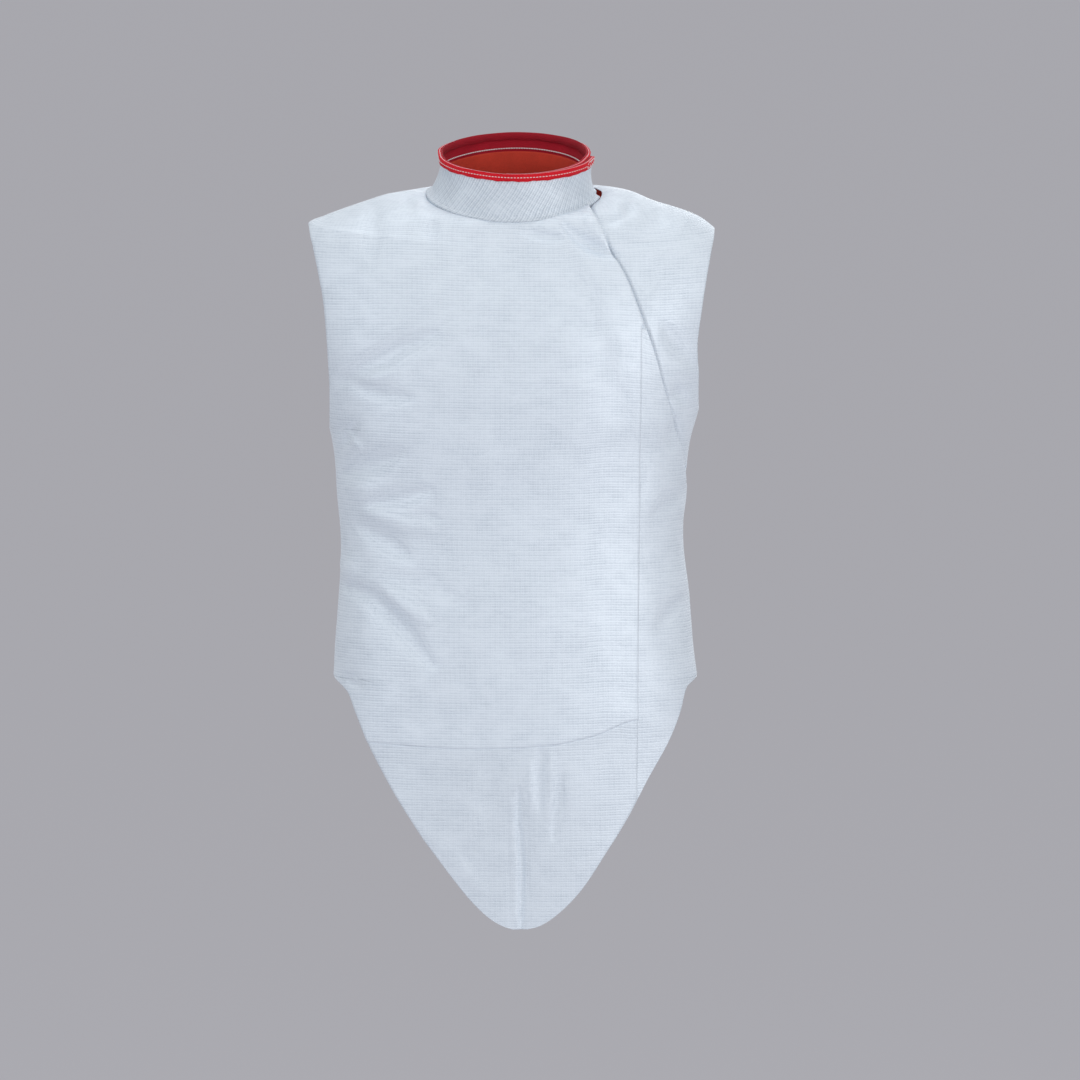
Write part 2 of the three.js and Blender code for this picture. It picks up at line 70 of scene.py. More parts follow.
# ---------------------------------------------------------------------------------------------
# The worn form, in millimetres: horizontal sections, bottom to top. Below the shoulder tips a
# level is the height itself; in the yoke the front, side and back of a section differ in height.
SECTION_COLUMNS = ("level", "z_front", "z_side", "z_back", "half", "front", "back", "x", "square", "tilt")
SECTIONS = (
    (-735, -735, -735, -735, 214, 87, 112, 4, 2.1, 0),
    (-650, -650, -650, -650, 203, 96, 112, 3, 2.1, 0),
    (-560, -560, -560, -560, 192, 103, 112, 1, 2.2, 0),
    (-485, -485, -485, -485, 182, 107, 112, 0, 2.4, 0),
    (-450, -450, -450, -450, 179, 107, 108, -1, 2.4, 0),
    (-410, -410, -410, -410, 176, 106, 102, -1, 2.4, 0),
    (-350, -350, -350, -350, 171.5, 104, 95, -3, 2.4, 0),
    (-300, -300, -300, -300, 174, 107, 96, -4, 2.4, 3),
    (-262, -262, -262, -262, 177.5, 112, 102, -3, 2.4, 8),
    (-228, -228, -228, -228, 185, 116, 108, -1, 2.5, 10),
    (-190, -190, -190, -190, 194, 118, 114, -1, 2.5, 8),
    (-150, -150, -150, -150, 206, 116, 117, -2.5, 2.4, 4),
    (-112, -112, -112, -112, 216, 109, 116, -2, 2.3, 1),
    (-76, -82, -76, -72, 221, 97, 109, -2.5, 2.2, -1),
    (-52, -66, -52, -42, 216, 89, 101, -3, 2.1, -2),
    (-35.5, -56, -35.5, -24, 203, 84, 94, -3.5, 2, -2.5),
    (-28, -50, -28, -17, 190, 81, 89, -3.5, 2, 0),
    (-20, -44, -20, -11, 172, 78, 83, -3.5, 2, 1),
    (-10, -38, -10, -5, 147, 75.5, 77, -3, 2, 2),
    (-2, -33.5, -2, 0, 121, 73.5, 71, -2.5, 2, 2),
    (4, -30.5, 0, 4.5, 102, 72, 67, -2, 2.05, 2),
    (10, -28, -3, 8, 88, 71, 64, -1, 2.1, 1),
)
COLLAR_SECTIONS = (
    (0, -28, -3, 8, 88, 71, 64, -1, 2.1, 1),
    (0.25, -16, 7, 19, 80.5, 68.5, 63, 0, 2.1, 1),
    (0.6, 1, 22, 36, 76.5, 66, 65.5, 1.5, 2.15, 0),
    (1, 20, 37, 53, 78, 64, 69, 2.5, 2.3, 0),
)

HEM = -485
UNDERARM = -228
SHOULDER_TIP = -35.5
BODY_TOP = 9.9
TAIL_TIP = -729
TAIL_SEAM = -548
OVERLAP_ENDS = -282
UNDERLAP_BOTTOM = -305
STRIP_TOP = -128
SHOULDER_HOLLOW = 4.5  # how far the wearer's left shoulder dips between neck and tip
SHOULDER_HOLLOW_X = 140
SEAM_LAP = 1.2  # how far the strip runs on under the front at their seam
SEAM_SINK = 0.06
UNDERLAP_SINK = 2.0  # how far the underlap gives way along the overlap's edge
UNDERLAP_WIDTH = 28  # how far the underlap runs on under the overlap
OVERLAP_CLEARANCE = 1.1
LINING_THICKNESS = 0.7
LINING_CLEARANCE = 0.8
SEAM_FADE = 18  # folds fade out over this distance from the side and shoulder seams
STRIP_BOTTOM = -598
STRIP_POINT = 6.2  # how far below that the strip runs out to nothing at the hem

ARMHOLE = (  # level, half width of the edge, how much less at the back
    (-228, 185, 0), (-200, 184.6, 3), (-160, 184.6, 5), (-113, 188.5, 5),
    (-76, 194.5, 4), (-52, 199.5, 2), (-35.5, 203, 0),
)
OVERLAP_EDGE = (  # level, x
    (-300, 170), (-278, 168.5), (-229, 157), (-198, 148), (-156, 137),
    (-119, 125), (-79, 111), (-50, 98), (-20, 86), (10, 74),
)
CROSS_SEAM = ((-150, 0), (-50, -3.5), (25, -1), (75, 8), (124, 24))  # x, rise over TAIL_SEAM
TAIL_HEM = (  # level, left x, right x
    (-729, -3, 13), (-723, -10, 22), (-711, -25, 37), (-683, -56, 69), (-652, -85, 94.5),
    (-624, -104, 112), (-587, -127, 131.5), (-551, -146, 151.5), (-529, -155, 161),
    (-514, -161, 166), (-501, -166, 169), (-494, -172, 171.5), (-485, -181.8, 181.8),
)

# Folds seen from the front or, on the back, from behind: name, points (x, height), half width and
# depth in millimetres. A ridge has a negative depth.
FRONT_FOLDS = (
    ("underarm", ((-172, -186), (-135, -164), (-113, -149), (-80, -137)), 9, 5.5),
    ("underarm, lower", ((-160, -190), (-135, -197), (-105, -201)), 7, 3.1),
    ("underarm ridge", ((-160, -180), (-125, -176)), 8, -3.1),
    ("armhole pinch", ((-172, -238), (-162, -244)), 10, 4.7),
    ("armhole crease", ((-170, -238), (-154, -254)), 3, -2.9),
    ("rib", ((-168, -279), (-140, -269), (-116, -257)), 9, 4.7),
    ("rib ridge", ((-165, -296), (-140, -292)), 9, -2.6),
    ("upper waist", ((-142, -309), (-115, -301), (-86, -294)), 7, 3.6),
    ("waist ridge", ((-150, -317), (-113, -327), (-82, -334)), 7, -2.6),
    ("waist nick", ((-89, -317), (-74, -323)), 3, 1.6),
    ("waist", ((-155, -332), (-125, -347), (-106, -361)), 9, 4.4),
    ("belly", ((-125, -381), (-90, -387), (-46, -408)), 11, 2.3),
    ("hip", ((-168, -394), (-143, -403), (-120, -424), (-103, -444), (-84, -468)), 9, 6.5),
    ("hip ridge", ((-130, -397), (-88, -424)), 9, -3.4),
    ("side swell", ((-172, -374), (-158, -378)), 10, -2.9),
    ("corner", ((-168, -484), (-156, -492)), 6, 2.6),
    ("collar trough", ((50, -32), (63, -43), (81, -53), (100, -60)), 5.5, 6),
    ("collar puff", ((72, -26), (88, -44)), 8, -3.9),
    ("below collar ridge", ((20, -32), (48, -37)), 5, -2.3),
    ("below collar", ((8, -38), (48, -44)), 5, 2.6),
    ("shoulder dip", ((116, -8), (112, -20)), 6, 3.1),
    ("overlap pull", ((83, -30), (106, -24)), 4, 2.1),
    ("left chest", ((150, -130), (176, -168)), 9, 4.2),
    ("left armhole", ((172, -196), (160, -202)), 8, 3.1),
    ("left shoulder", ((133, -64), (133, -96)), 8, 2.1),
    ("left side", ((160, -226), (156, -252)), 7, 2.9),
    ("left rib", ((168, -300), (140, -318)), 9, 3.1),
    ("left hip", ((172, -404), (146, -432)), 10, 3.4),
    ("right shoulder", ((-142, -16), (-142, -68)), 9, 2.3),
    ("right neck", ((-82, -24), (-82, -44)), 6, 2.3),
    ("right yoke", ((-108, -6), (-104, -16)), 7, 2.3),
    ("dart", ((4, -590), (3, -617), (5, -642), (7, -667), (6, -740)), 2.6, 2.1),
    ("dart hollow", ((4, -600), (6, -740)), 10, 2),
    ("dart lip", ((-3, -604), (-1, -660), (0, -725)), 3.5, -1),
    ("tail fold", ((25, -552), (25, -612)), 5, 1.8),
    ("tail ridge", ((15, -566), (15, -616)), 4, -1),
    ("tail outer ridge", ((35, -554), (34, -622)), 5, -1.3),
    ("tail outer fold", ((46, -580), (39, -642)), 5, 1.8),
    ("tail broad fold", ((-25, -554), (-26, -636), (-43, -659)), 12, 1.6),
    ("tail rim", ((-92, -632), (-34, -694)), 8, -1.3),
)
BACK_FOLDS = (
    ("right underarm", ((-170, -196), (-130, -176), (-92, -162)), 10, 3.8),
    ("left underarm", ((172, -186), (136, -170), (104, -150)), 10, 3.4),
    ("right rib", ((-166, -286), (-128, -274)), 9, 3),
    ("left rib", ((166, -274), (132, -286)), 9, 3),
    ("small of the back", ((-96, -322), (-30, -332), (40, -326)), 13, 2.6),
    ("back waist", ((-60, -356), (20, -366), (92, -352)), 12, 2.4),
    ("right waist", ((-164, -338), (-120, -352)), 9, 3.2),
    ("left waist", ((164, -346), (118, -334)), 9, 3.2),
    ("right hip", ((-166, -404), (-130, -424), (-104, -452)), 10, 4),
    ("left hip", ((168, -398), (134, -420), (112, -456)), 10, 4),
    ("right blade", ((-112, -52), (-96, -118)), 13, 2),
    ("left blade", ((110, -56), (92, -120)), 13, 2),
    ("below collar", ((-34, -12), (0, -18), (34, -12)), 6, 2),
)


def curve(rows, column):
    """A smooth curve through one column of a table, monotone between its rows, held at its ends."""
    at = np.array([row[0] for row in rows], float)
    value = np.array([row[column] for row in rows], float)
    step = np.diff(value) / np.diff(at)
    slope = np.zeros(len(rows))
    before, after = step[:-1], step[1:]
    same = before * after > 0
    slope[1:-1][same] = 2 * before[same] * after[same] / (before[same] + after[same])

    def read(x):
        place = np.clip(x, at[0], at[-1])
        i = np.clip(np.searchsorted(at, place, side="right") - 1, 0, len(at) - 2)
        span = at[i + 1] - at[i]
        s = (place - at[i]) / span
        return (
            value[i] * (2 * s**3 - 3 * s**2 + 1) + span * slope[i] * (s**3 - 2 * s**2 + s)
            + value[i + 1] * (3 * s**2 - 2 * s**3) + span * slope[i + 1] * (s**3 - s**2)
        )

    return read


class Loft:
    """A form lofted through squared oval sections. Angle 0 is the front, +90 degrees the wearer's left."""

    def __init__(self, rows):
        self.read = {name: curve(rows, i) for i, name in enumerate(SECTION_COLUMNS) if i}

    def point(self, level, angle, inset=0.0):
        level, angle = np.broadcast_arrays(np.asarray(level, float), np.asarray(angle, float))
        at = {name: read(level) for name, read in self.read.items()}
        sine, cosine = np.sin(angle), np.cos(angle)
        depth = np.where(cosine > 0, at["front"], at["back"]) - inset
        across = np.abs(sine) / (at["half"] - inset)
        along = np.abs(cosine) / depth
        radius = (across ** at["square"] + along ** at["square"]) ** (-1 / at["square"])
        rise = np.where(
            cosine > 0, (at["z_front"] - at["z_side"]) * cosine, (at["z_side"] - at["z_back"]) * cosine
        )
        z = at["z_side"] + rise + at["tilt"] * radius * sine / 200
        return np.stack([at["x"] + radius * sine, -radius * cosine, z], axis=-1)

    def normal(self, level, angle, level_step, inset=0.0):
        turn = 0.002
        around = self.point(level, angle + turn, inset) - self.point(level, angle - turn, inset)
        up = self.point(level + level_step, angle, inset) - self.point(level - level_step, angle, inset)
        return unit(np.cross(around, up))


def unit(vectors):
    return vectors / np.maximum(np.linalg.norm(vectors, axis=-1, keepdims=True), 1e-9)


def smooth(value, start, end):
    share = np.clip((value - start) / (end - start), 0, 1)
    return share * share * (3 - 2 * share)


def mix(start, end, share):
    return start + (end - start) * share


BODY = Loft(SECTIONS)
COLLAR = Loft(COLLAR_SECTIONS)
armhole_half = curve(ARMHOLE, 1)
armhole_back_less = curve(ARMHOLE, 2)
overlap_x = curve(OVERLAP_EDGE, 1)
cross_rise = curve(CROSS_SEAM, 1)
tail_left = curve(TAIL_HEM, 1)
tail_right = curve(TAIL_HEM, 2)


def strip_x(level):
    return mix(122.3, 126, (level - STRIP_BOTTOM) / (STRIP_TOP - STRIP_BOTTOM))


def angle_at(level, x):
    """The angle on the front at which a level reaches x, no further than the side seam."""
    level, x = np.broadcast_arrays(np.asarray(level, float), np.asarray(x, float))
    side = np.where(x < BODY.read["x"](level), -1.0, 1.0)
    low, high = np.zeros(level.shape), np.full(level.shape, QUARTER - 0.0003)
    for _ in range(36):
        middle = (low + high) / 2
        short = (BODY.point(level, side * middle)[..., 0] - x) * side < 0
        low, high = np.where(short, middle, low), np.where(short, high, middle)
    return side * high


def front_limit(level, side):
    level = np.asarray(level, float)
    seam = np.full(level.shape, side * (QUARTER - 0.0003))
    tail = angle_at(level, tail_left(level) if side < 0 else tail_right(level))
    hole = angle_at(level, BODY.read["x"](level) + side * armhole_half(level))
    in_hole = (level > UNDERARM) & (level < SHOULDER_TIP)
    return np.where(level < HEM, tail, np.where(in_hole, hole, seam))


def back_limit(level, side):
    level = np.asarray(level, float)
    reach = armhole_half(level) - armhole_back_less(level)
    hole = angle_at(level, BODY.read["x"](level) + side * reach)
    in_hole = (level > UNDERARM) & (level < SHOULDER_TIP)
    return math.pi - np.where(in_hole, hole, side * (QUARTER - 0.0003))


def fold_depth(folds, x, z):
    """How far a set of folds presses the cloth in. Each fades out towards its ends."""
    total = np.zeros(np.shape(x))
    for _, points, width, depth in folds:
        points = np.array(points, float)
        lengths = np.linalg.norm(np.diff(points, axis=0), axis=1)
        starts = np.concatenate([[0], np.cumsum(lengths)])
        nearest = np.full(np.shape(x), 1e9)
        along = np.zeros(np.shape(x))
        for i, length in enumerate(lengths):
            (ax, az), (bx, bz) = points[i], points[i + 1]
            share = np.clip(((x - ax) * (bx - ax) + (z - az) * (bz - az)) / length**2, 0, 1)
            away = np.hypot(x - ax - share * (bx - ax), z - az - share * (bz - az))
            closer = away < nearest
            nearest = np.where(closer, away, nearest)
            along = np.where(closer, starts[i] + share * length, along)
        middle = along / starts[-1]
        spread = width * (0.75 + 0.5 * np.sin(math.pi * np.clip(middle, 0, 1)))
        strength = 0.45 + 0.55 * np.sin(math.pi * np.clip(middle, 0, 1)) ** 0.7
        total += depth * strength * np.exp(-((nearest / spread) ** 2))
    return total


def gentle_waves(x, z, phase):
    """The slow unevenness of cloth that stands on its own: a few crossing waves, under 1 mm high."""
    waves = (
        (0.041, 0.013, 0.34), (-0.017, 0.034, 0.42), (0.063, -0.049, 0.2), (0.024, 0.083, 0.16),
        (0.11, 0.03, 0.1),
    )
    return sum(size * np.sin(a * x + b * z + phase * (i + 1)) for i, (a, b, size) in enumerate(waves))


# ---------------------------------------------------------------------------------------------
# Meshes


def mesh_object(name, points, quads, cloth=None, flat_from=None):
    """An object from points in metres and four-cornered faces, with its cloth coordinates. It is
    shaded smooth up to flat_from, the first face of a cut edge."""
    mesh = bpy.data.meshes.new(name)
    mesh.vertices.add(len(points))
    mesh.vertices.foreach_set("co", np.ascontiguousarray(points, np.float32).ravel())
    mesh.loops.add(quads.size)
    mesh.loops.foreach_set("vertex_index", quads.astype(np.int32).ravel())
    mesh.polygons.add(len(quads))
    mesh.polygons.foreach_set("loop_start", np.arange(0, quads.size, 4, dtype=np.int32))
    soft = np.ones(len(quads), bool)
    if flat_from is not None:
        soft[flat_from:] = False
    mesh.polygons.foreach_set("use_smooth", soft)
    if cloth is not None:
        layer = mesh.attributes.new("cloth", "FLOAT_VECTOR", "POINT")
        layer.data.foreach_set("vector", np.ascontiguousarray(cloth, np.float32).ravel())
    mesh.update(calc_edges=True)
    mesh.validate()
    piece = bpy.data.objects.new(name, mesh)
    bpy.context.scene.collection.objects.link(piece)
    return piece


def sheet_piece(name, outer, inner, cloth, rim=0.35):
    """A closed sheet: outer and inner grids of points, with a rounded edge between them."""
    rows, columns = outer.shape[:2]
    number = np.arange(rows * columns).reshape(rows, columns)
    border = np.concatenate([
        number[0, :], number[1:, -1], number[-1, -2::-1], number[-2:0:-1, 0],
    ])
    flat_outer, flat_inner = outer.reshape(-1, 3), inner.reshape(-1, 3)
    inside = np.concatenate([
        outer[1, :] - outer[0, :], outer[1:, -2] - outer[1:, -1],
        outer[-2, -2::-1] - outer[-1, -2::-1], outer[-2:0:-1, 1] - outer[-2:0:-1, 0],
    ])
    middle = (flat_outer[border] + flat_inner[border]) / 2 - unit(inside) * rim * MM
    layer = rows * columns
    mids = 2 * layer + np.arange(len(border))
    a, b = number[:-1, :-1].ravel(), number[:-1, 1:].ravel()
    c, d = number[1:, 1:].ravel(), number[1:, :-1].ravel()
    nxt = np.roll(border, -1)
    mids_next = np.roll(mids, -1)
    quads = np.concatenate([
        np.stack([a, b, c, d], 1),
        np.stack([d, c, b, a], 1) + layer,
        np.stack([nxt, border, mids, mids_next], 1),
        np.stack([mids_next, mids, border + layer, nxt + layer], 1),
    ])
    points = np.concatenate([flat_outer, flat_inner, middle])
    flat_cloth = cloth.reshape(-1, 3)
    coordinates = np.concatenate([flat_cloth, flat_cloth, flat_cloth[border]])
    return mesh_object(name, points, quads, coordinates, flat_from=2 * len(a))


def row_levels(*stops):
    """Levels from stop to stop; each stop after the first is (level, spacing in millimetres)."""
    levels = [stops[0]]
    coarser = 1.0
    for level, spacing in stops[1:]:
        steps = max(1, round(abs(level - levels[-1]) / (spacing * coarser)))
        levels.extend(np.linspace(levels[-1], level, steps + 1)[1:])
    return np.array(levels)


def arc_from_front(level, angle, steps=60):
    """Length round the body from the middle of the front to an angle, along one level."""
    share = np.linspace(0, 1, steps + 1)
    points = BODY.point(np.asarray(level)[:, None], np.asarray(angle)[:, None] * share)
    return np.linalg.norm(np.diff(points, axis=1), axis=2).sum(axis=1) * np.sign(angle)


def body_sheet(name, levels, left, right, columns, bend=None, stand=None, thickness=1.0, rim=0.35):
    """A panel cut from the body form. left and right give its ends as angles, bend moves a row's
    level with x, and stand how far its outer face is off the form. Returns the piece and its grid."""
    share = np.linspace(0, 1, columns + 1)
    level = np.repeat(levels[:, None], columns + 1, axis=1)
    angle = mix(left(levels)[:, None], right(levels)[:, None], share)
    if bend is not None:
        for _ in range(2):
            level = bend(levels[:, None], BODY.point(level, angle)[..., 0])
            ends = left(level[:, 0])[:, None], right(level[:, -1])[:, None]
            angle = mix(ends[0], ends[1], share)
    form = BODY.point(level, angle)
    normal = BODY.normal(level, angle, 0.5)
    off = np.zeros(level.shape) if stand is None else stand(form, level)
    outer = (form + normal * off[..., None]) * MM
    inner = (form + normal * (off - thickness)[..., None]) * MM
    around = np.linalg.norm(np.diff(form, axis=1), axis=2)
    u = np.concatenate([np.zeros((len(levels), 1)), np.cumsum(around, axis=1)], axis=1)
    u += arc_from_front(levels, angle[:, 0])[:, None]
    tangent = unit(np.gradient(form, axis=1))
    climb = np.diff(form, axis=0)
    climb = climb - (climb * tangent[1:]).sum(axis=2, keepdims=True) * tangent[1:]
    up = np.linalg.norm(climb, axis=2)
    v = np.concatenate([np.zeros((1, columns + 1)), np.cumsum(up, axis=0)], axis=0) + level[:1]
    piece = sheet_piece(name, outer, inner, np.stack([u, v, off], axis=-1), rim)
    width = around.sum(axis=1).max() * MM
    length = np.linalg.norm(np.diff(form, axis=0), axis=2).sum(axis=0).max() * MM
    area = (around[1:].mean(axis=1, keepdims=True) * up.mean(axis=1, keepdims=True)).sum() * columns * MM * MM
    return piece, outer, (width, length, area)


def settle(piece, size, node=None):
    if node:
        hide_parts(node)
    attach(piece, "root")
    width, length, area = size
    width, length = round(width, 3), round(length, 3)
    area = round(min(max(area, 0.301 * width * length), width * length), 5)


STITCH_SIDES = 6
STITCH_RINGS = ((-0.5, 0.35), (-0.38, 0.9), (0.0, 1.0), (0.38, 0.9), (0.5, 0.35))


def stitch_points(path, normals, spacing):
    """Evenly spaced places along a path, with the direction and normal at each."""
    steps = np.linalg.norm(np.diff(path, axis=0), axis=1)
    along = np.concatenate([[0], np.cumsum(steps)])
    count = max(2, int(along[-1] / spacing))
    places = (np.arange(count) + 0.5) * along[-1] / count
    at = np.stack([np.interp(places, along, path[:, i]) for i in range(3)], axis=1)
    out = unit(np.stack([np.interp(places, along, normals[:, i]) for i in range(3)], axis=1))
    ahead = np.stack([np.interp(places + spacing * 0.1, along, path[:, i]) for i in range(3)], axis=1)
    behind = np.stack([np.interp(places - spacing * 0.1, along, path[:, i]) for i in range(3)], axis=1)
    return at, unit(ahead - behind), out


def stitches(name, runs, length, thick, material):
    """One mesh of separate stitches. Each run is (places, directions, normals)."""
    at = np.concatenate([run[0] for run in runs])
    ahead = np.concatenate([run[1] for run in runs])
    out = np.concatenate([run[2] for run in runs])
    beside = unit(np.cross(ahead, out))
    out = np.cross(beside, ahead)
    turns = np.arange(STITCH_SIDES) * 2 * math.pi / STITCH_SIDES
    template = np.array([
        (x * length, thick / 2 * r * math.cos(t), thick / 2 * r * math.sin(t) - 0.5 * thick * (4 * x * x))
        for x, r in STITCH_RINGS for t in turns
    ])
    rings = len(STITCH_RINGS)
    quads = [
        (ring * STITCH_SIDES + s, ring * STITCH_SIDES + (s + 1) % STITCH_SIDES,
         (ring + 1) * STITCH_SIDES + (s + 1) % STITCH_SIDES, (ring + 1) * STITCH_SIDES + s)
        for ring in range(rings - 1) for s in range(STITCH_SIDES)
    ]
    last = (rings - 1) * STITCH_SIDES
    quads += [
        (3, 2, 1, 0), (5, 4, 3, 0), (last, last + 1, last + 2, last + 3),
        (last, last + 3, last + 4, last + 5),
    ]
    quads = np.array(quads)
    points = (
        at[:, None] + template[None, :, 0:1] * ahead[:, None] + template[None, :, 1:2] * beside[:, None]
        + template[None, :, 2:3] * out[:, None]
    ).reshape(-1, 3)
    all_quads = (quads[None] + (np.arange(len(at)) * len(template))[:, None, None]).reshape(-1, 4)
    piece = mesh_object(name, points, all_quads)
    piece.data.materials.append(material)
    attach(piece, "root")
    return piece


# ---------------------------------------------------------------------------------------------
# Materials


class Term:
    """A socket in an expression: arithmetic on it adds Math nodes."""

    def __init__(self, finish, socket):
        self.finish, self.socket = finish, socket

    def _with(self, operation, *others):
        values = {i: other for i, other in enumerate((self, *others))}
        return self.finish.node("ShaderNodeMath", {"operation": operation}, values)

    def __add__(self, other):
        return self._with("ADD", other)

    __radd__ = __add__

    def __sub__(self, other):
        return self._with("SUBTRACT", other)

    def __rsub__(self, other):
        return self.finish.node("ShaderNodeMath", {"operation": "SUBTRACT"}, {0: other, 1: self})

    def __mul__(self, other):
        return self._with("MULTIPLY", other)

    __rmul__ = __mul__

    def __pow__(self, other):
        return self._with("POWER", other)

    def sine(self):
        return self._with("SINE")

    def clamped(self, low=0.0, high=1.0):
        return self.finish.node("ShaderNodeClamp", {}, {"Value": self, "Min": low, "Max": high})


class Finish:
    """A node material with one principled surface."""

    def __init__(self, name):
        self.material = bpy.data.materials.new(name)
        self.material.use_nodes = True
        self.tree = self.material.node_tree
        self.surface = next(n for n in self.tree.nodes if n.type == "BSDF_PRINCIPLED")

    def node(self, kind, settings, values, output=0):
        made = self.tree.nodes.new(kind)
        for key, value in settings.items():
            setattr(made, key, value)
        for key, value in values.items():
            if isinstance(value, Term):
                self.tree.links.new(value.socket, made.inputs[key])
            else:
                made.inputs[key].default_value = value
        return Term(self, made.outputs[output])

    def cloth_axes(self):
        """Distance across and along the cloth, in millimetres."""
        place = self.node("ShaderNodeAttribute", {"attribute_name": "cloth"}, {}, "Vector")
        parts = self.tree.nodes.new("ShaderNodeSeparateXYZ")
        self.tree.links.new(place.socket, parts.inputs[0])
        self.layer = Term(self, parts.outputs["Z"])
        return place, Term(self, parts.outputs["X"]), Term(self, parts.outputs["Y"])

    def noise(self, vector, scale, detail=2.0, roughness=0.5):
        values = {"Vector": vector, "Scale": scale, "Detail": detail, "Roughness": roughness}
        return self.node("ShaderNodeTexNoise", {}, values, "Fac")

    def stretched(self, vector, x, y, z=1.0):
        return self.node("ShaderNodeVectorMath", {"operation": "MULTIPLY"}, {0: vector, 1: (x, y, z)})

    def colour(self, factor, dark, light):
        settings = {"data_type": "RGBA"}
        return self.node("ShaderNodeMix", settings, {0: factor, 6: (*dark, 1), 7: (*light, 1)}, 2)

    def put(self, socket, value):
        if isinstance(value, Term):
            self.tree.links.new(value.socket, self.surface.inputs[socket])
        else:
            self.surface.inputs[socket].default_value = value

    def bump(self, height, distance, strength=1.0):
        values = {"Height": height, "Distance": distance, "Strength": strength}
        self.put("Normal", self.node("ShaderNodeBump", {}, values))


ROW_PITCH = 2.56
COLUMN_PITCH = 5.1


def lame_cloth(name, dark, light, slant=0.0, strength=1.0):
    """Woven metal thread: fine rows ROW_PITCH apart, every other one heavier, and fainter columns."""
    finish = Finish(name)
    place, u, v = finish.cloth_axes()
    across, along = u, v
    if slant:
        cosine, sine = math.cos(slant), math.sin(slant)
        across, along = u * cosine - v * sine, u * sine + v * cosine
    warp = finish.noise(finish.stretched(place, 0.02, 0.02), 1.0, 2.0)
    wobble = (warp - 0.5) * 1.6
    row = ((along + wobble) * (2 * math.pi / ROW_PITCH)).sine()
    heavy = ((along + wobble) * (2 * math.pi / (2 * ROW_PITCH))).sine()
    column = ((across + wobble) * (2 * math.pi / COLUMN_PITCH)).sine()
    dots = ((across + wobble) * (2 * math.pi / (COLUMN_PITCH / 3))).sine()
    patches = finish.noise(finish.stretched(place, 0.035, 0.05), 1.0, 3.0, 0.6)
    slubs = finish.noise(finish.stretched(place, 0.09, 0.9), 1.0, 2.0, 0.6)
    grain = finish.noise(finish.stretched(place, 0.8, 0.8), 1.0, 2.0, 0.7)
    threads = (row * 0.5 + 0.5) ** 2.0 * (0.35 + 0.65 * (dots * 0.5 + 0.5)) * 0.6
    threads = threads + (heavy * 0.5 + 0.5) ** 3.0 * 0.22 + (column * 0.5 + 0.5) ** 3.0 * 0.13
    body = (threads * (patches * 1.5 + 0.05) * strength).clamped()
    tone = (body * 0.75 + (slubs - 0.5) * 0.35 + (grain - 0.5) * 0.5 + (patches - 0.5) * 0.3).clamped()
    finish.put("Base Color", finish.colour(tone, light, dark))
    finish.put("Metallic", 0.28)
    finish.put("Roughness", (0.42 + 0.2 * grain + 0.1 * body).clamped(0.2, 0.9))
    finish.put("Sheen Weight", 0.12)
    finish.put("Sheen Roughness", 0.4)
    finish.put("Specular IOR Level", 0.45)
    finish.bump(0.5 - body + grain * 0.35, 0.00035)
    return finish.material


def plain_cloth(name, dark, light, pitch, roughness=0.85, rib=False, inside=None):
    """Matt lining or tape: a fine weave, or ribs across its length. Given inside, the tape's inner leg,
    behind the collar's outer face, is mixed to that darker colour: painted shade inside the collar.
    """
    finish = Finish(name)
    place, u, v = finish.cloth_axes()
    cross = (u * (2 * math.pi / pitch)).sine()
    length = (v * (2 * math.pi / pitch)).sine()
    weave = cross * 0.5 + 0.5 if rib else (cross * length) * 0.5 + 0.5
    patches = finish.noise(finish.stretched(place, 0.05, 0.05), 1.0, 3.0, 0.6)
    grain = finish.noise(finish.stretched(place, 0.7, 0.7), 1.0, 2.0, 0.6)
    tone = (weave * 0.4 + (patches - 0.5) * 0.7 + (grain - 0.5) * 0.5 + 0.3).clamped()
    colour = finish.colour(tone, dark, light)
    if inside is not None:
        # Painted shade: lining holds the darker red painted on the tape's inner leg inside the collar, not a
        # lining cloth.
        lining = finish.colour(tone, shade(inside, 0.7), shade(inside, 1.3))
        share = (finish.layer * -1.0 - 1.2).clamped()
        colour = finish.node("ShaderNodeMix", {"data_type": "RGBA"}, {0: share, 6: colour, 7: lining}, 2)
    finish.put("Base Color", colour)
    finish.put("Roughness", (roughness - 0.1 + 0.2 * grain).clamped(0.3, 1.0))
    finish.put("Sheen Weight", 0.03)
    finish.put("Specular IOR Level", 0.2)
    finish.bump(weave + grain * 0.6, 0.0003)
    return finish.material


def thread(name, dark, light):
    finish = Finish(name)
    place = finish.node("ShaderNodeTexCoord", {}, {}, "Object")
    twist = finish.noise(place, 1800.0, 2.0)
    finish.put("Base Color", finish.colour(twist.clamped(), dark, light))
    finish.put("Roughness", 0.6)
    finish.bump(twist, 0.0001)
    return finish.material


# ---------------------------------------------------------------------------------------------
# The pieces


class LameSizes(bpy.types.PropertyGroup):
    cloth: bpy.props.FloatProperty(
        name="Cloth", description="Thickness of the turned cloth, in millimetres", default=1.1, min=0.4, max=3
    )
    stitch_length: bpy.props.FloatProperty(
        name="Stitch length", description="Length of one stitch", default=0.0024, unit="LENGTH",
        min=0.001, max=0.006,
    )
    stitch_spacing: bpy.props.FloatProperty(
        name="Stitch spacing", description="From one stitch to the next", default=0.0032, unit="LENGTH",
        min=0.0015, max=0.008,
    )
    thread_thickness: bpy.props.FloatProperty(
        name="Thread", description="Thickness of the white thread", default=0.0009, unit="LENGTH",
        min=0.0003, max=0.002,
    )
    binding_leg: bpy.props.FloatProperty(
        name="Binding", description="Depth of the folded binding, in millimetres", default=10, min=4, max=20
    )


